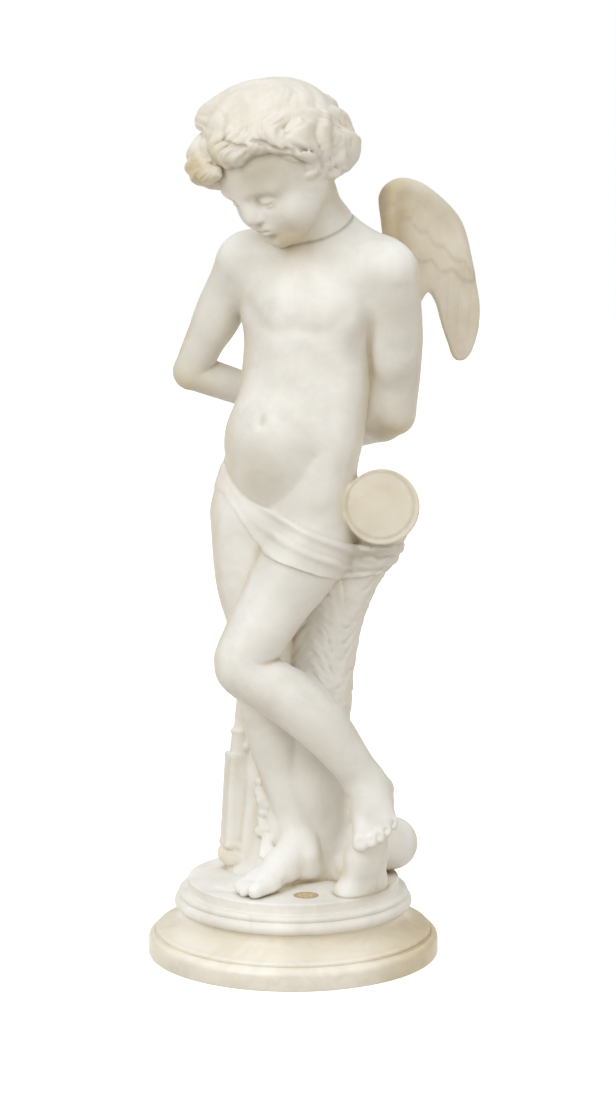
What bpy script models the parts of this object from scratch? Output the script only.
"""Marble statue of a cupid: a carved figure on a round plinth, and a turned socle.

The figure leans on a tree stump with its hands behind its back.
It is carved in one block with its wings, cloth, quiver, stump and plinth.
Origin: centre of the socle's underside, +Z up, the figure faces -Y.
"""
import math

import bmesh
import bpy
import numpy as np
import openvdb

# Driving sizes, in metres
FIGURE_HEIGHT = 0.694
SOCLE_HEIGHT = 0.0407
SOCLE_RADIUS = 0.127
SOCLE_EDGE_HEIGHT = 0.0180
SOCLE_EDGE_ROUND = 0.0060
SOCLE_STEP_RADIUS = 0.118
SOCLE_STEP_HEIGHT = 0.0045
SOCLE_NECK_RADIUS = 0.0975
SOCLE_NECK_BAND = 0.0030
PLINTH_HEIGHT = 0.0250
PLINTH_RADIUS = 0.104
PLINTH_TORUS_HEIGHT = 0.0095
PLINTH_STEP_RADIUS = 0.1005
PLINTH_STEP_HEIGHT = 0.0060
PLATE_RADIUS = 0.0925
PLATE_EDGE_ROUND = 0.0015
PLUG_RADIUS = 0.0105
PLUG_THICKNESS = 0.0020
PLUG_EDGE_DISTANCE = 0.0180
PLUG_AZIMUTH = 10.3
JOINT = 0.0003

# Places that follow from the sizes
PLINTH_UNDERSIDE = SOCLE_HEIGHT + JOINT
PLINTH_TOP = PLINTH_UNDERSIDE + PLINTH_HEIGHT

# Fineness of the solids
CARVING_STEP = 2.6
CARVING_TRIANGLES = 6000
TURNED_SIDES = 60
PLUG_SIDES = 32

# The carving is drawn in units of 1/694 of its height, upwards from the plinth's top
DRAWN_HEIGHT = 694.0
FOOT_DEPTH = 4.0
FAR = 400.0
DRAWN_LOW = (-112.0, -112.0, -8.0)
DRAWN_HIGH = (178.0, 134.0, 712.0)


def smooth_min(a, b, k):
    """The lesser of two distances, with a fillet of size k."""
    h = np.maximum(k - np.abs(a - b), 0.0) / k
    return np.minimum(a, b) - h * h * k * 0.25


def smooth_max(a, b, k):
    return -smooth_min(-a, -b, k)


def turn(yaw=0.0, pitch=0.0, roll=0.0):
    """Rotation matrix: roll about Y, then pitch about X, then yaw about Z, in degrees."""
    cz, sz = math.cos(math.radians(yaw)), math.sin(math.radians(yaw))
    cx, sx = math.cos(math.radians(pitch)), math.sin(math.radians(pitch))
    cy, sy = math.cos(math.radians(roll)), math.sin(math.radians(roll))
    about_z = np.array([[cz, -sz, 0], [sz, cz, 0], [0, 0, 1]])
    about_x = np.array([[1, 0, 0], [0, cx, -sx], [0, sx, cx]])
    about_y = np.array([[cy, 0, sy], [0, 1, 0], [-sy, 0, cy]])
    return about_z @ about_x @ about_y


def smooth_table(xs, ys, x):
    """Values of a smooth curve through the table (xs, ys)."""
    xs = np.asarray(xs, float)
    ys = np.asarray(ys, float)
    slope = np.gradient(ys, xs)
    i = np.clip(np.searchsorted(xs, x) - 1, 0, len(xs) - 2)
    h = xs[i + 1] - xs[i]
    t = np.clip((x - xs[i]) / h, 0, 1)
    t2 = t * t
    t3 = t2 * t
    start = (2 * t3 - 3 * t2 + 1) * ys[i] + (t3 - 2 * t2 + t) * h * slope[i]
    end = (3 * t2 - 2 * t3) * ys[i + 1] + (t3 - t2) * h * slope[i + 1]
    return start + end


class Pose:
    """A place and a rotation for a body part."""

    def __init__(self, origin=(0, 0, 0), rotation=None):
        self.origin = np.array(origin, float)
        self.rotation = np.eye(3) if rotation is None else rotation

    def world(self, point):
        return self.origin + self.rotation @ np.array(point, float)

    def local(self, x, y, z):
        dx, dy, dz = x - self.origin[0], y - self.origin[1], z - self.origin[2]
        r = self.rotation.astype(np.float32)
        return [r[0, i] * dx + r[1, i] * dy + r[2, i] * dz for i in range(3)]

    def at(self, point, yaw=0, pitch=0, roll=0):
        return Pose(self.world(point), self.rotation @ turn(yaw, pitch, roll))


WORLD = Pose()
CHEST = Pose((15, 2, 500), turn(-22))
PELVIS = Pose((-6, 2, 345), turn(-30))
HEAD = Pose((-13, -25, 622), turn(-46, 38, -6))


class Bone:
    """A round cone between two points."""

    def __init__(self, start, end, start_radius, end_radius, pose=WORLD):
        self.start, self.end = pose.world(start), pose.world(end)
        self.radii = (start_radius, end_radius)

    def span(self):
        reach = max(self.radii)
        return np.minimum(self.start, self.end) - reach, np.maximum(self.start, self.end) + reach

    def measure(self, x, y, z):
        axis = self.end - self.start
        length = max(float(np.sqrt(axis @ axis)), 1e-3)
        axis = axis / length
        px, py, pz = x - self.start[0], y - self.start[1], z - self.start[2]
        along = px * axis[0] + py * axis[1] + pz * axis[2]
        out = np.sqrt(np.maximum(px * px + py * py + pz * pz - along * along, 0.0))
        ra, rb = self.radii
        lean = min(max((ra - rb) / length, -0.98), 0.98)
        tall = math.sqrt(1 - lean * lean)
        k = tall * along - lean * out
        side = out * tall + along * lean - ra
        dist = np.where(k < 0, np.sqrt(out * out + along * along) - ra, side)
        return np.where(k > tall * length, np.sqrt(out * out + (along - length) ** 2) - rb, dist)


class Mass:
    """An ellipsoid."""

    def __init__(self, centre, radii, yaw=0, pitch=0, roll=0, pose=WORLD):
        self.pose = pose.at(centre, yaw, pitch, roll)
        self.radii = np.array(radii, float)

    def span(self):
        reach = np.sqrt(((self.pose.rotation * self.radii) ** 2).sum(1))
        return self.pose.origin - reach, self.pose.origin + reach

    def measure(self, x, y, z):
        u, v, w = self.pose.local(x, y, z)
        a, b, c = (float(r) for r in self.radii)
        k0 = np.sqrt((u / a) ** 2 + (v / b) ** 2 + (w / c) ** 2)
        k1 = np.sqrt((u / a**2) ** 2 + (v / b**2) ** 2 + (w / c**2) ** 2)
        return k0 * (k0 - 1) / np.maximum(k1, 1e-6)


class Box:
    """A box with rounded edges."""

    def __init__(self, centre, half, radius, yaw=0, pitch=0, roll=0):
        self.pose = WORLD.at(centre, yaw, pitch, roll)
        self.half = np.array(half, float)
        self.radius = radius

    def span(self):
        reach = np.abs(self.pose.rotation) @ self.half
        return self.pose.origin - reach, self.pose.origin + reach

    def measure(self, x, y, z):
        local = self.pose.local(x, y, z)
        q = [np.abs(c) - (h - self.radius) for c, h in zip(local, self.half)]
        out = np.sqrt(sum(np.maximum(c, 0) ** 2 for c in q))
        inner = np.minimum(np.maximum(np.maximum(q[0], q[1]), q[2]), 0)
        return out + inner - self.radius


class Column:
    """A lofted column of oval sections: rows of height, centre x and y, half width, half depth, yaw."""

    def __init__(self, rows):
        self.rows = np.array(rows, float)

    def span(self):
        r = self.rows
        widest = r[:, 3:5].max(1)
        low = ((r[:, 1] - widest).min(), (r[:, 2] - widest).min(), r[0, 0])
        high = ((r[:, 1] + widest).max(), (r[:, 2] + widest).max(), r[-1, 0])
        return np.array(low), np.array(high)

    def measure(self, x, y, z):
        heights = self.rows[:, 0]
        cx, cy, a, b, yaw = (smooth_table(heights, self.rows[:, i], z) for i in range(1, 6))
        c, s = np.cos(np.radians(yaw)), np.sin(np.radians(yaw))
        dx, dy = x - cx, y - cy
        u, v = c * dx + s * dy, c * dy - s * dx
        squareness = 2.25
        k0 = ((np.abs(u) / a) ** squareness + (np.abs(v) / b) ** squareness) ** (1 / squareness)
        side = np.sqrt(u * u + v * v) * (1 - 1 / np.maximum(k0, 1e-3)) * 0.93
        ends = np.maximum(heights[0] - z, z - heights[-1])
        return smooth_max(side, ends, 10.0)


class Plate:
    """A thin bent plate with a given outline, as wide as its pose's X and as tall as its Z."""

    def __init__(self, outline, thickness, bend, pose, slack=12.0):
        self.outline = np.array(outline, float)
        self.thickness, self.bend, self.pose, self.slack = thickness, bend, pose, slack

    def span(self):
        low, high = self.outline.min(0), self.outline.max(0)
        places = [(u, v, w) for u in (low[0], high[0]) for v in (-self.slack, self.slack)
                  for w in (low[1], high[1])]
        corners = [self.pose.world(place) for place in places]
        return np.min(corners, 0), np.max(corners, 0)

    def measure(self, x, y, z):
        u, v, w = self.pose.local(x, y, z)
        rim = outline_distance(self.outline, u, w)
        face = np.abs(v - self.bend(u, w)) - self.thickness(u, w, np.maximum(-rim, 0.0))
        return smooth_max(rim, face, 3.0)


def outline_distance(outline, u, w):
    """Signed distance to a closed outline, below zero inside it."""
    shape = np.broadcast(u, w).shape
    best = np.full(shape, 1e9)
    inside = np.zeros(shape, bool)
    for a, c in zip(outline, np.roll(outline, -1, axis=0)):
        edge = c - a
        h = np.clip(((u - a[0]) * edge[0] + (w - a[1]) * edge[1]) / float(edge @ edge), 0, 1)
        best = np.minimum(best, (u - a[0] - h * edge[0]) ** 2 + (w - a[1] - h * edge[1]) ** 2)
        if a[1] != c[1]:
            crossing = (c[0] - a[0]) * (w - a[1]) / (c[1] - a[1]) + a[0]
            inside ^= ((a[1] > w) != (c[1] > w)) & (u < crossing)
    return np.where(inside, -1, 1) * np.sqrt(best)


def round_outline(points, steps=6):
    """A closed smooth outline through the points."""
    p = np.array(points, float)
    outline = []
    for i in range(len(p)):
        a, b, c, d = p[i - 1], p[i], p[(i + 1) % len(p)], p[(i + 2) % len(p)]
        for t in np.arange(steps) / steps:
            square = 2 * a - 5 * b + 4 * c - d
            cube = 3 * b - a - 3 * c + d
            outline.append(0.5 * (2 * b + (c - a) * t + square * t**2 + cube * t**3))
    return np.array(outline)


def chain(points, radii, pose=WORLD, steps=4):
    """Bones along a smooth curve through the points."""
    points = np.array(points, float)
    lengths = np.linalg.norm(np.diff(points, axis=0), axis=1)
    s = np.concatenate([[0], np.cumsum(lengths)])
    t = np.linspace(0, s[-1], (len(points) - 1) * steps + 1)
    places = np.stack([smooth_table(s, points[:, i], t) for i in range(3)], 1)
    sizes = smooth_table(s, radii, t)
    pairs = zip(places, places[1:], sizes, sizes[1:])
    return [Bone(a, b, ra, rb, pose) for a, b, ra, rb in pairs]


class Block:
    """The block being carved: the distance to the surface at each place of a grid."""

    def __init__(self, xs, ys, zs):
        self.xs, self.ys, self.zs = (np.asarray(a, np.float32) for a in (xs, ys, zs))
        self.field = np.full((len(xs), len(ys), len(zs)), FAR, np.float32)

    def empty(self):
        return Block(self.xs, self.ys, self.zs)

    def window(self, low, high):
        axes = (self.xs, self.ys, self.zs)
        cut = tuple(slice(int(np.searchsorted(a, l)), int(np.searchsorted(a, h)) + 1)
                    for a, l, h in zip(axes, low, high))
        x = self.xs[cut[0]][:, None, None]
        y = self.ys[cut[1]][None, :, None]
        z = self.zs[cut[2]][None, None, :]
        return cut, x, y, z

    def around(self, form, k):
        low, high = form.span()
        return self.window(low - k - 6.0, high + k + 6.0)

    def add(self, form, k=2.0):
        where, x, y, z = self.around(form, k)
        if self.field[where].size:
            self.field[where] = smooth_min(self.field[where], form.measure(x, y, z), k)

    def cut(self, form, k=2.0):
        where, x, y, z = self.around(form, k)
        if self.field[where].size:
            self.field[where] = smooth_max(self.field[where], -form.measure(x, y, z), k)

    def add_all(self, forms, k=0.05):
        for form in forms:
            self.add(form, k)

    def merge(self, other, k=2.0):
        self.field = smooth_min(self.field, other.field, k).astype(np.float32)

    def merge_limb(self, other, joint, joint_fillet, reach, k=2.5):
        """Merge with a broad fillet near the joint and a narrow one elsewhere."""
        x, y, z = self.xs[:, None, None], self.ys[None, :, None], self.zs[None, None, :]
        away = (x - joint[0]) ** 2 + (y - joint[1]) ** 2 + (z - joint[2]) ** 2
        fillet = (k + (joint_fillet - k) * np.exp(-away / reach**2)).astype(np.float32)
        self.merge(other, fillet)


def carve_torso(block):
    block.add(Column([
        (292, -11, 6, 43, 34, -28),
        (318, -8, 3, 56.5, 40, -30),
        (350, -5.5, 1, 60, 42, -30),
        (384, 2, 0, 60.5, 41, -28),
        (427, 9.5, 0, 57.5, 37, -25),
        (478, 13.5, 2, 55.5, 39, -22),
        (510, 17, 2, 57, 37, -21),
        (532, 20, 3, 54, 31, -21),
        (548, 22.5, 4, 40, 26, -21),
        (562, 22, 4, 27, 23, -21),
        (578, 19, 1, 20, 18, -21),
    ]), 1)
    for side in (-1, 1):
        breast = Mass((side * 25, -20, -2), (27, 15.5, 24), pose=CHEST)
        shoulder_blade = Mass((side * 33, 23, 8), (23, 13, 34), pose=CHEST)
        seat = Mass((side * 26, 24, -20), (30, 25, 31), pose=PELVIS)
        hip = Mass((side * 40, 2, -12), (23, 29, 34), pose=PELVIS)
        block.add(breast, 22)
        block.add(shoulder_blade, 14)
        block.add(seat, 12)
        block.add(hip, 14)
    belly = Mass((-3, -16, 43), (41, 29, 38), pose=PELVIS)
    spine = Bone((0, 47, -60), (0, 43, 25), 4, 4, CHEST)
    navel = Mass((-1, -48, 58), (2.4, 5, 3.4), pose=PELVIS)
    neck = Bone((23, 6, 548), (13, -6, 592), 26, 25)
    left_slope = Bone((27, 14, 568), (74, -2, 541), 15, 17)
    right_slope = Bone((20, 16, 568), (-36, 22, 543), 15, 16)
    block.add(belly, 16)
    block.cut(spine, 16)
    block.cut(navel, 5)
    block.add(neck, 16)
    block.add(left_slope, 18)
    block.add(right_slope, 18)


def carve_left_arm(block):
    arm = block.empty()
    arm.add(Mass((84, -22, 528), (22.5, 24, 24)), 6)
    upper = [(83, -22, 526), (86, -12, 490), (87.5, 2, 445), (86.5, 12, 410)]
    fore = [(86, 13, 408), (70, 38, 394), (38, 72, 378)]
    arm.add_all(chain(upper, [23, 23.5, 22, 19.5]))
    arm.add(Mass((85, -8, 470), (21, 23, 38), roll=2), 8)
    arm.add(Mass((88, 15, 402), (16, 17, 15)), 6)
    arm.add_all(chain(fore, [18.5, 16.5, 11.5]))
    arm.add(Mass((78, 28, 398), (20, 17, 17), yaw=42), 8)
    palm = Pose((14, 88, 372), turn(-12, 0, -12))
    arm.add(Mass((0, 0, 0), (18, 8.5, 13.5), pose=palm), 6)
    for finger in range(4):
        z = 9 - finger * 6.0
        joints = [(-12, 0, z), (-26, 2, z - 3), (-33, -5, z - 7), (-28, -12, z - 9)]
        arm.add_all(chain(joints, [4.5, 4.3, 3.9, 3.4], palm), 1.2)
    thumb = [(4, 4, 9), (-8, 9, 13), (-19, 9, 13)]
    arm.add_all(chain(thumb, [5.0, 4.5, 3.8], palm), 1.5)
    block.merge_limb(arm, joint=(74, -16, 536), joint_fillet=30, reach=46)


def carve_right_arm(block):
    arm = block.empty()
    arm.add(Mass((-44, 25, 530), (23, 24, 24)), 6)
    upper = [(-46, 26, 526), (-64.5, 36, 490), (-80, 46, 458), (-88, 50, 439)]
    fore = [(-87, 50, 438), (-48, 58, 424), (2, 70, 405)]
    arm.add_all(chain(upper, [22.5, 19.2, 17, 16]))
    arm.add(Mass((-62, 36, 492), (18, 20, 32), roll=20), 8)
    arm.add(Mass((-89, 52, 437), (13.5, 15, 13.5)), 6)
    arm.add_all(chain(fore, [16, 15.2, 11.5]))
    palm = Pose((20, 84, 398), turn(-28, 0, 18))
    arm.add(Mass((0, 0, 0), (17, 8, 13), pose=palm), 5)
    for finger in range(4):
        z = 9 - finger * 6.2
        joints = [(12, 2, z), (26, 3.5, z - 3), (32, -6, z - 6), (27, -14, z - 8)]
        arm.add_all(chain(joints, [4.6, 4.4, 4.0, 3.5], palm), 1.2)
    thumb = [(0, -2, 12), (14, -8, 17), (25, -12, 15)]
    arm.add_all(chain(thumb, [5.2, 4.6, 4.0], palm), 1.5)
    block.merge_limb(arm, joint=(-34, 18, 538), joint_fillet=30, reach=46)


def carve_right_leg(block):
    """The leg that carries the weight."""
    leg = block.empty()
    line = [(-36, 12, 318), (-35.4, 12, 291), (-34.6, 8, 261), (-28.5, 2, 223), (-26.8, -2, 188),
            (-28, -2, 176), (-23.5, 1, 146), (-15.3, 4, 115), (-8.8, 3, 89), (-4.0, -2, 71),
            (0, -6, 54), (2, -8, 36)]
    radii = [35.5, 34.5, 32, 27.5, 24.5, 23.5, 21.5, 22, 19, 16.5, 14.6, 14.6]
    leg.add_all(chain(line, radii))
    knee = Mass((-28, -9, 180), (19, 17, 21))
    calf = Mass((-18, 13, 130), (16, 16, 34), roll=-14)
    leg.add(knee, 8)
    leg.add(calf, 8)
    carve_right_foot(leg)
    block.merge_limb(leg, joint=(-30, 8, 320), joint_fillet=14, reach=45, k=3)


def carve_right_foot(leg):
    foot = Pose((-10, -30, 0), turn(-46))
    leg.add(Mass((1, 26, 13), (15, 17, 15), pose=foot), 7)
    leg.add(Bone((1, 22, 34), (0, -4, 19), 13, 12, foot), 12)
    leg.add(Bone((0, -2, 16), (5, -26, 9), 14, 8.5, foot), 10)
    leg.add(Bone((-4, 0, 13), (-10, -24, 7), 11, 7, foot), 8)
    leg.add(Mass((-1, -24, 7), (19, 12, 8), pose=foot), 7)
    leg.add(Bone((12, -30, 7), (14, -47, 6), 7, 6.4, foot), 3.5)
    for x, y, r in ((3.0, -46, 5.0), (-5, -43, 4.7), (-12, -38, 4.4), (-18, -31, 4.1)):
        leg.add(Bone((x * 0.8, y + 20, 7), (x, y + 3, 6), r, r * 0.9, foot), 2)
        leg.add(Bone((x, y + 3, 6), (x, y - 3, 4), r, r, foot), 1.2)
    for side, y, z in ((15, 21, 26), (-13.5, 23, 24)):
        leg.add(Mass((side, y, z), (4.5, 6, 6), pose=foot), 8)


def carve_left_leg(block):
    """The leg that crosses in front, with its toes on a rock."""
    leg = block.empty()
    line = [(20, -6, 320), (17, -14, 303), (6.2, -24, 281), (-15, -37, 250), (-34, -49, 218),
            (-43.5, -54, 199), (-36, -55, 190), (-18, -53, 180), (6.2, -50, 162), (27, -47, 142),
            (45, -44, 118.6), (60, -41, 97)]
    radii = [37, 36.5, 34, 29.5, 26.5, 23, 23, 24, 24, 22.5, 19, 16.5]
    leg.add_all(chain(line, radii))
    knee = Mass((-45, -62, 196), (18, 15, 19))
    calf = Mass((8, -36, 168), (30, 17, 19), roll=38)
    leg.add(knee, 7)
    leg.add(calf, 8)
    carve_left_foot(leg)
    block.merge_limb(leg, joint=(20, -4, 322), joint_fillet=14, reach=45, k=3)


def carve_left_foot(leg):
    leg.add(Bone((61, -41, 96), (67, -44, 86), 16.5, 17), 6)
    leg.add(Mass((66, -24, 84), (14, 16, 15)), 9)
    leg.add(Bone((66, -44, 88), (67, -60, 74), 15.5, 16), 8)
    leg.add(Bone((60, -55, 76), (60, -73, 60), 11.5, 9), 7)
    leg.add(Bone((74, -52, 78), (77, -68, 67), 12, 8.5), 7)
    toes = [((61, -70, 61), (57.5, -80, 51), 6.6), ((67, -70, 62), (66, -81, 52), 4.8),
            ((72, -69, 64), (72.5, -78, 54.5), 4.6), ((77, -67, 67), (78.5, -74.5, 58.5), 4.4),
            ((81.5, -64, 70), (84, -69.5, 63.5), 4.1)]
    for knuckle, tip, r in toes:
        leg.add(Bone(knuckle, tip, r, r * 0.95), 3)
    for x, y, z in ((84, -38, 88), (50, -40, 92)):
        leg.add(Mass((x, y, z), (4, 5, 5)), 8)


def carve_head(block):
    head = block.empty()
    head.add(Mass((0, 6, 6), (48, 55, 51), pose=HEAD), 1)
    head.add(Mass((0, -13, 12), (41, 37, 33), pose=HEAD), 10)
    head.add(Mass((0, -13, -20), (37, 35, 35), pose=HEAD), 12)
    for side in (-1, 1):
        cheek = Mass((side * 19, -30, -27), (17, 15, 16), pose=HEAD)
        jaw = Bone((side * 30, -4, -26), (side * 11, -34, -49), 11, 9, HEAD)
        brow = Bone((side * 8, -46.5, 2), (side * 27, -38, 1), 4, 5, HEAD)
        socket = Mass((side * 17, -53, -8), (11, 9, 6), pose=HEAD)
        lids = Mass((side * 17, -38.5, -9), (9.5, 9, 8), pose=HEAD)
        head.add(cheek, 10)
        head.add(jaw, 12)
        head.add(brow, 10)
        head.cut(socket, 6)
        head.add(lids, 2)
    chin = Mass((0, -40.5, -49), (10, 8.5, 8.5), pose=HEAD)
    nose = [(0, -46, 2), (0, -48.5, -6), (0, -52.5, -14), (0, -56, -20)]
    lips = [(-9, -46, -36), (0, -49.5, -35), (9, -46, -36)]
    head.add(chin, 8)
    head.add_all(chain(nose, [3.6, 3.0, 3.3, 4.0], HEAD), 5)
    head.add_all(chain(lips, [2, 4, 2], HEAD), 4)
    block.merge(head, 9)


SKULL = np.array([48.0, 55.0, 51.0])
SKULL_CENTRE = np.array([0.0, 7.0, 6.0])
# Azimuth on the head, lowest hair, top of the curls, thickness of the curls, thickness on the crown
HAIR = np.array([
    (-180, -46, 2, 11, 9.5), (-136, -40, 12, 12, 12), (-110, -38, 22, 13, 14), (-90, -34, 34, 14, 16),
    (-70, -16, 40, 15, 18), (-44, 4, 45, 16, 19), (-20, 12, 48, 15, 18), (0, 17, 52, 14, 15),
    (25, 14, 52, 13, 12), (46, 8, 50, 12, 10), (60, 0, 44, 12, 9), (70, -14, 40, 11.5, 8),
    (90, -34, 26, 11.5, 6.5), (110, -38, 14, 12, 6), (136, -42, 5, 12.5, 6.5), (180, -46, 2, 11, 9.5),
], float)


def hair_value(azimuth, column):
    return np.interp((np.asarray(azimuth) + 180.0) % 360.0 - 180.0, HAIR[:, 0], HAIR[:, column])


def hair_thickness(azimuth, elevation):
    """How thick the hair lies on the skull: thin on the crown, and a brim of curls below it."""
    low, border, brim, crown = (hair_value(azimuth, i) for i in (1, 2, 3, 4))
    crown = crown + (11.0 - crown) * np.clip((elevation - 55) / 35, 0, 1) ** 1.5
    a = np.radians(azimuth)
    low = low + 5.0 * np.sin(a * 9 + 1.1) + 4.0 * np.sin(a * 14 + 2.4)
    border = border + 4.0 * np.sin(a * 7 + 0.6) + 3.0 * np.sin(a * 12)
    t = (elevation - low) / (border - low)
    brim = brim * (1 + 0.13 * np.sin(a * 8 + 4.5 * t) + 0.10 * np.sin(a * 13 - 5.5 * t + 1.7))
    curls = brim * np.interp(t, [-0.28, -0.12, 0.0, 0.2, 0.6, 0.85], [-0.5, 0.05, 0.62, 1.0, 0.98, 0.72])
    f = np.clip((t - 0.78) / 0.26, 0, 1)
    f = f * f * (3 - 2 * f)
    parting = 2.0 * np.exp(-(((t - 1.04) / 0.10) ** 2))
    return curls * (1 - f) + (crown - parting) * f


def on_hair(azimuth, elevation, lift):
    """A place over the hair, in the head's own frame."""
    a, e = math.radians(azimuth), math.radians(elevation)
    d = np.array([math.sin(a) * math.cos(e), -math.cos(a) * math.cos(e), math.sin(e)])
    skull = 1.0 / math.sqrt(((d / SKULL) ** 2).sum())
    return SKULL_CENTRE + d * (skull + float(hair_thickness(azimuth, elevation)) + lift)


def curl(azimuth, top, bottom, sweep, size, hook, lift):
    """One lock down over the brim, ending in a hook."""
    points, radii = [], []
    for s in np.linspace(0, 1, 7):
        a = azimuth + sweep * (s + 0.20 * math.sin(2 * math.pi * s))
        low, border = float(hair_value(a, 1)), float(hair_value(a, 2))
        down = min(1.0, s * 1.3)
        t = top + (bottom - top) * math.sin(0.5 * math.pi * down)
        elevation = low + (border - low) * t + max(0.0, s * 1.3 - 1) * hook
        points.append(on_hair(a, elevation, lift + 1.6 * math.sin(math.pi * s) - max(0.0, s - 0.8) * 12))
        radii.append(size * 0.8 * (0.35 + 0.65 * math.sin(math.pi * min(1, 0.12 + s * 1.1))) + 0.4)
    return chain(points, radii, HEAD, steps=2)


def carve_hair(block):
    rng = np.random.default_rng(23)
    hair = block.empty()
    centre = HEAD.world(SKULL_CENTRE)
    where, x, y, z = hair.window(centre - 92, centre + 92)
    u, v, w = HEAD.local(x, y, z)
    u, v, w = u - SKULL_CENTRE[0], v - SKULL_CENTRE[1], w - SKULL_CENTRE[2]
    r = np.sqrt(u * u + v * v + w * w) + 1e-3
    azimuth = np.degrees(np.arctan2(u, -v))
    elevation = np.degrees(np.arcsin(np.clip(w / r, -1, 1)))
    skull = 1.0 / np.sqrt((u / r / SKULL[0]) ** 2 + (v / r / SKULL[1]) ** 2 + (w / r / SKULL[2]) ** 2)
    hair.field[where] = (r - skull - hair_thickness(azimuth, elevation)) * 0.8
    nape = Mass((0, 27, -14), (40, 34, 32), pose=HEAD)
    hair.add(nape, 10)
    tiers = [(17, 0.95, 0.25, 9.0, 0.5), (18, 0.60, 0.0, 8.0, 0.0)]
    for tier, (count, top, bottom, size, lift) in enumerate(tiers):
        for i in range(count):
            azimuth = -180 + 360 * (i + 0.37 * tier) / count + rng.uniform(-6, 6)
            sweep = rng.choice((-1, 1)) * rng.uniform(10, 26)
            hook = rng.uniform(10, 34)
            hair.add_all(curl(azimuth, top, bottom, sweep, size * rng.uniform(0.85, 1.15), hook, lift), 1.5)
    block.merge(hair, 1.5)


# Outline of one wing: outwards from its root, and height
WING = [
    (2, 505), (6, 535), (14, 558), (20, 574), (20.5, 588), (26, 601), (40, 606), (59, 602), (78, 590),
    (94, 575), (103, 559), (110, 533), (117.5, 499), (117, 481), (112, 467), (104, 454), (96, 450),
    (90, 455), (83, 474), (77, 495), (70, 506), (64, 500), (56, 488), (42, 482), (26, 482), (10, 487),
]


def wing_bend(u, w):
    return 3.0 - 0.0016 * (u - 55) ** 2 - 0.00054 * (w - 520) ** 2


def wing_thickness(u, w, depth):
    """Half thickness: a round upper limb that thins out towards the feathers."""
    limb = 4.6 * np.exp(-(((depth - 8.0) / 9.0) ** 2)) * np.clip((w - 480) / 60, 0, 1)
    root = 4.0 * np.clip((26 - u) / 26, 0, 1)
    t = 2.6 + limb + 1.6 * np.clip((w - 500) / 90, 0, 1) + root
    return t * np.sqrt(np.clip(1 - (1 - np.clip(depth / (t * 1.3), 0, 1)) ** 2, 0.04, 1))


def carve_wings(block):
    left, back = CHEST.rotation[:2, 0], CHEST.rotation[:2, 1]
    for side in (1, -1):
        root = np.array([17, 2]) + back * 36 + left * side * 28
        out = left * side * 0.66 + back * 0.75
        out = np.array([*out / np.linalg.norm(out), 0])
        backwards = np.array([-out[1], out[0], 0]) * side
        pose = Pose((*root, 0), np.stack([out, backwards, (0, 0, 1)], 1))
        wing = block.empty()
        wing.add(Plate(round_outline(WING), wing_thickness, wing_bend, pose), 0.5)
        wing.add(Mass((6, 0, 520), (20, 10, 32), pose=pose), 8)
        wing.add(Bone((2, -4, 530), (24, 0, 572), 11, 6, pose), 8)
        block.merge_limb(wing, joint=(*root, 515), joint_fillet=12, reach=34, k=2)


# Centre of the stump's sawn end, and the way it faces
STUB = np.array([74.5, -38.0, 333.0])
STUB_FACE = np.array([0.02, -0.985, 0.17])


def carve_stump(block):
    line = [(2, 26, -4), (5, 26, 40), (10, 26, 90), (16, 25, 150), (24.5, 23, 205), (35, 20, 240),
            (49, 17, 268), (64, 10, 296), (73, -8, 322), (76, -52, 335)]
    radii = [48, 44, 39.5, 35, 32, 30, 27.5, 28.5, 31, 32.5]
    block.add_all(chain(line, radii))
    where, x, y, z = block.window((30, -110, 280), (125, -20, 390))
    sawn = (x - STUB[0]) * STUB_FACE[0] + (y - STUB[1]) * STUB_FACE[1] + (z - STUB[2]) * STUB_FACE[2]
    block.field[where] = smooth_max(block.field[where], sawn, 2.0)
    root = Bone((30, 22, 18), (88, 14, 25), 24, 22.5)
    toe_rock = Box((65, -52, 18), (19.5, 22, 27), 9, yaw=-8, pitch=6)
    rock_foot = Box((58, -38, 8), (26, 22, 16), 9, yaw=20)
    rock_apron = Mass((48, -64, 2), (20, 14, 12))
    bridge = Bone((66, -40, 0), (40, 10, 4), 18, 20)
    mound = Mass((0, 30, -8), (66, 46, 20))
    knob = Mass((-40, 32, 8), (18, 14, 60))
    block.add(root, 8)
    block.add(toe_rock, 5)
    block.add(rock_foot, 10)
    block.add(rock_apron, 12)
    block.add(bridge, 12)
    block.add(mound, 12)
    block.add(knob, 10)


def carve_quiver(block):
    quiver = block.empty()
    foot, mouth = np.array([-52.0, 26, 0]), np.array([-44.0, 32, 160])

    def at(height):
        return foot + (mouth - foot) * height / 160

    barrel = Bone(at(18), at(106), 11.6, 12.2)
    bottom_ring = Bone(at(13), at(16), 12.4, 12.4)
    bottom_knob = Mass(at(12) + np.array([-7, -2, 2]), (6, 6, 6))
    band = Bone(at(103), at(106), 13.2, 13.2)
    collar = Bone(at(104), at(124), 11.4, 10.6)
    quiver.add(bottom_ring, 1)
    quiver.add(bottom_knob, 3)
    quiver.add(barrel, 1.5)
    quiver.add(band, 1.2)
    quiver.add(collar, 1.5)
    for i in range(5):
        a = math.radians(72 * i)
        out = np.array([math.cos(a), math.sin(a), 0]) * 4.5
        quiver.add(Bone(at(120) + out, at(168) + out * 1.3, 3.5, 4.5), 1.5)
    block.merge(quiver, 2.5)


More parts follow.
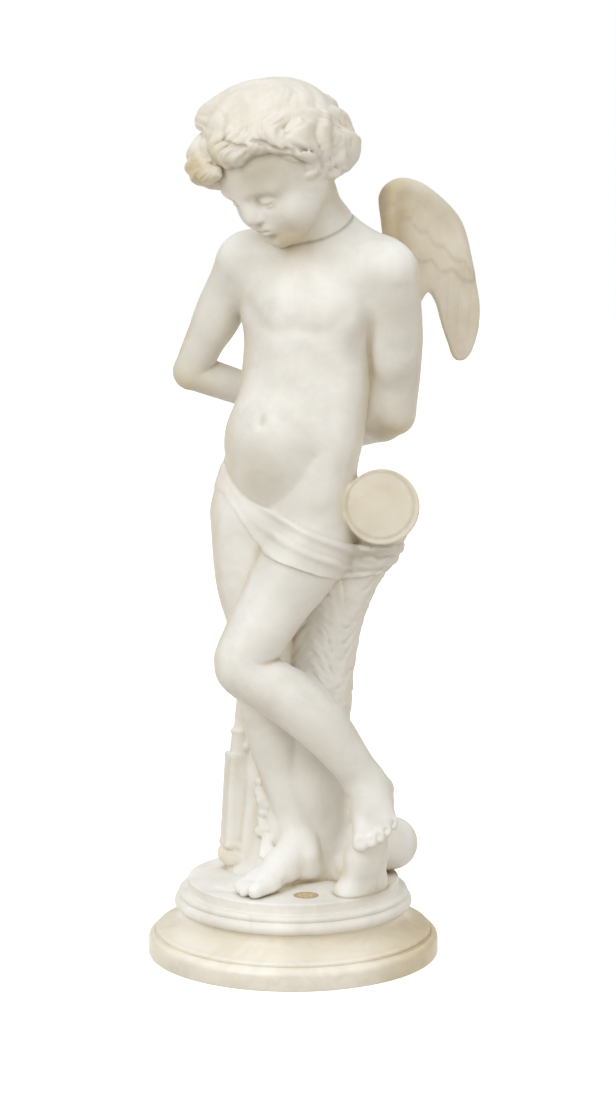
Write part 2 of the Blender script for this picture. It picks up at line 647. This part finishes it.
# Azimuth round the pelvis, upper and lower edge of the cloth
CLOTH = np.array([
    (-180, 352, 292), (-150, 356, 300), (-120, 360, 318), (-90, 363, 336), (-65, 362, 342),
    (-49, 351.5, 338.5), (-31, 340, 325), (-22, 336, 313), (-15, 334, 302), (-4, 331, 293),
    (14, 327.5, 290), (34, 321, 284), (56, 311, 275), (80, 301, 268), (106, 296, 266),
    (120, 292, 270), (135, 300, 276), (152, 340, 284), (180, 352, 292),
], float)


def carve_cloth(block, under):
    """A cloth round the hips and the stump: the surface under it, grown, between two edges."""
    where, x, y, z = block.window((-90, -80, 240), (120, 80, 380))
    u, v, w = PELVIS.local(x, y, z)
    azimuth = np.degrees(np.arctan2(u, -v))
    top = np.interp(azimuth, CLOTH[:, 0], CLOTH[:, 1])
    low = np.interp(azimuth, CLOTH[:, 0], CLOTH[:, 2])
    f = (z - low) / np.maximum(top - low, 1)
    side = np.clip((azimuth + 70) / 80, 0, 1) * np.clip((130 - azimuth) / 40, 0.2, 1)
    fold = 1.3 * np.sin(f * 13.5 + 0.03 * azimuth) * (0.12 + 0.88 * side)
    skin = under[where] - (2.4 + fold)
    edge = np.maximum(z - top, low - z) * 0.8
    cloth = smooth_max(skin, edge, 2.5)
    beside_stub = 38.0 - np.sqrt((x - STUB[0]) ** 2 + (z - STUB[2]) ** 2)
    cloth = smooth_max(cloth, np.where(y < -12, beside_stub, -50.0), 2.0)
    block.field[where] = smooth_min(block.field[where], cloth, 1.0)


def carve_figure():
    """The whole carving as a block of distances, in drawing units."""
    axes = [np.arange(low, high, CARVING_STEP) for low, high in zip(DRAWN_LOW, DRAWN_HIGH)]
    block = Block(*axes)
    carve_torso(block)
    carve_right_leg(block)
    carve_left_leg(block)
    body = block.field.copy()
    carve_right_arm(block)
    carve_left_arm(block)
    carve_head(block)
    stump = block.empty()
    carve_stump(stump)
    block.merge(stump, 3)
    carve_cloth(block, smooth_min(body, stump.field, 12))
    carve_wings(block)
    carve_quiver(block)
    carve_hair(block)
    block.field = np.maximum(block.field, -(block.zs[None, None, :] + FOOT_DEPTH)).astype(np.float32)
    return block


def largest_piece(points, faces):
    """The faces of the largest connected surface, and its points."""
    label = np.arange(len(points))
    while True:
        lowest = label[faces].min(1)
        new = label.copy()
        for corner in range(faces.shape[1]):
            np.minimum.at(new, faces[:, corner], lowest)
        new = new[new]
        if (new == label).all():
            break
        label = new
    main = np.bincount(label).argmax()
    faces = faces[label[faces[:, 0]] == main]
    used, inverse = np.unique(faces, return_inverse=True)
    return points[used], inverse.reshape(faces.shape)


def block_mesh(block, name):
    """The block's surface as a mesh, in metres, standing on the plinth's top."""
    grid = openvdb.FloatGrid(FAR)
    grid.copyFromArray(block.field)
    places, quads = grid.convertToQuads(isovalue=0.0)
    axes = (block.xs, block.ys, block.zs)
    points = np.stack([np.interp(places[:, i], np.arange(len(a)), a) for i, a in enumerate(axes)], 1)
    points, quads = largest_piece(points, quads.astype(np.int64))
    points = points * (FIGURE_HEIGHT / DRAWN_HEIGHT) + np.array([0, 0, PLINTH_TOP])
    mesh = bpy.data.meshes.new(name)
    mesh.from_pydata(points.tolist(), [], quads.tolist())
    solid = bmesh.new()
    solid.from_mesh(mesh)
    bmesh.ops.recalc_face_normals(solid, faces=solid.faces)
    bmesh.ops.triangulate(solid, faces=solid.faces)
    solid.to_mesh(mesh)
    solid.free()
    return mesh


def arc(centre, radius, start, end, steps):
    """Points of an arc in the profile plane, from start to end in degrees above +X."""
    angles = np.radians(np.linspace(start, end, steps + 1))
    return [(centre[0] + radius * math.cos(a), centre[1] + radius * math.sin(a)) for a in angles]


def plinth_profile():
    """Outer side of the plinth from the top down: plate, step and torus."""
    edge = PLATE_EDGE_ROUND
    torus_radius = PLINTH_TORUS_HEIGHT / 2
    torus_top = PLINTH_UNDERSIDE + PLINTH_TORUS_HEIGHT
    step_top = torus_top + PLINTH_STEP_HEIGHT
    step_round = PLINTH_STEP_HEIGHT / 2
    step_centre = (PLINTH_STEP_RADIUS - step_round, step_top - step_round)
    torus_centre = (PLINTH_RADIUS - torus_radius, PLINTH_UNDERSIDE + torus_radius)
    points = [(0.0, PLINTH_TOP)]
    points += arc((PLATE_RADIUS - edge, PLINTH_TOP - edge), edge, 90, 0, 2)
    points += [(PLATE_RADIUS, step_top)]
    points += arc(step_centre, step_round, 90, -20, 4)
    points += arc(torus_centre, torus_radius, 60, -90, 6)
    points += [(0.0, PLINTH_UNDERSIDE)]
    return points


def socle_profile():
    """Outer side of the socle from the top down: neck, scotia, step and rounded disc."""
    step_top = SOCLE_EDGE_HEIGHT + SOCLE_STEP_HEIGHT
    neck_low = SOCLE_HEIGHT - SOCLE_NECK_BAND
    depth, drop = SOCLE_STEP_RADIUS - SOCLE_NECK_RADIUS, neck_low - step_top
    points = [(0.0, SOCLE_HEIGHT), (SOCLE_NECK_RADIUS, SOCLE_HEIGHT)]
    for a in np.radians(np.linspace(0, 90, 6)):
        points.append((SOCLE_STEP_RADIUS - depth * math.cos(a), neck_low - drop * math.sin(a)))
    disc = SOCLE_RADIUS - SOCLE_EDGE_ROUND
    points += arc((disc, SOCLE_EDGE_HEIGHT - SOCLE_EDGE_ROUND), SOCLE_EDGE_ROUND, 90, 0, 4)
    points += [(SOCLE_RADIUS, 0.0), (0.0, 0.0)]
    return points


def turned(name, profile, collection):
    """A turned solid from its outer profile."""
    mesh = bpy.data.meshes.new(name)
    edges = [(i, i + 1) for i in range(len(profile) - 1)]
    mesh.from_pydata([(radius, 0.0, height) for radius, height in profile], edges, [])
    solid = bpy.data.objects.new(name, mesh)
    collection.objects.link(solid)
    screw = solid.modifiers.new("turn", "SCREW")
    screw.steps = TURNED_SIDES
    screw.render_steps = TURNED_SIDES
    screw.use_merge_vertices = True
    screw.merge_threshold = 0.00001
    screw.use_smooth_shade = False
    return solid


def cylinder(name, radius, low, high, place, collection):
    mesh = bpy.data.meshes.new(name)
    solid = bmesh.new()
    bmesh.ops.create_cone(solid, cap_ends=True, segments=PLUG_SIDES, radius1=radius, radius2=radius,
                          depth=high - low)
    solid.to_mesh(mesh)
    solid.free()
    piece = bpy.data.objects.new(name, mesh)
    piece.location = (*place, (low + high) / 2)
    collection.objects.link(piece)
    return piece


def stone(name, colour, roughness):
    material = bpy.data.materials.new(name)
    material.use_nodes = True
    shader = material.node_tree.nodes["Principled BSDF"]
    shader.inputs["Base Color"].default_value = (*colour, 1.0)
    shader.inputs["Roughness"].default_value = roughness
    shader.inputs["Metallic"].default_value = 0.0
    return material


def boolean(target, operation, tool):
    modifier = target.modifiers.new(tool.name, "BOOLEAN")
    modifier.operation = operation
    modifier.object = tool
    modifier.solver = "EXACT"


def hide_tool(tool):
    tool.hide_render = True
    tool.display_type = "WIRE"


def new_collection(name):
    collection = bpy.data.collections.new(name)
    bpy.context.scene.collection.children.link(collection)
    return collection


def build_figure(statue, tools, plug_place):
    mesh = block_mesh(carve_figure(), "cupid_figure")
    figure = bpy.data.objects.new("cupid_figure", mesh)
    statue.objects.link(figure)
    thin = figure.modifiers.new("facets", "DECIMATE")
    thin.ratio = CARVING_TRIANGLES / len(mesh.polygons)
    plinth = turned("plinth_tool", plinth_profile(), tools)
    recess_floor = PLINTH_TOP - PLUG_THICKNESS - JOINT
    recess_top = PLINTH_TOP + FOOT_DEPTH * FIGURE_HEIGHT / DRAWN_HEIGHT
    recess = cylinder("recess_tool", PLUG_RADIUS + JOINT, recess_floor, recess_top, plug_place, tools)
    boolean(figure, "UNION", plinth)
    boolean(figure, "DIFFERENCE", recess)
    for tool in (plinth, recess):
        hide_tool(tool)
    figure.data.materials.append(stone("figure_marble", (0.80, 0.77, 0.69), 0.38))


def build_socle(statue):
    socle = turned("socle", socle_profile(), statue)
    socle.data.materials.append(stone("socle_marble", (0.76, 0.70, 0.57), 0.35))


def build_plug(statue, place):
    floor = PLINTH_TOP - PLUG_THICKNESS
    plug = cylinder("plinth_plug", PLUG_RADIUS, floor, PLINTH_TOP, place, statue)
    plug.data.materials.append(stone("plug_brown", (0.16, 0.08, 0.04), 0.55))


def main():
    for old in list(bpy.data.objects):
        bpy.data.objects.remove(old, do_unlink=True)
    statue = new_collection("cupid_statue")
    tools = new_collection("tools")
    out = PLATE_RADIUS - PLUG_EDGE_DISTANCE - PLUG_RADIUS
    azimuth = math.radians(PLUG_AZIMUTH)
    plug_place = (out * math.sin(azimuth), -out * math.cos(azimuth))
    build_figure(statue, tools, plug_place)
    build_socle(statue)
    build_plug(statue, plug_place)


main()
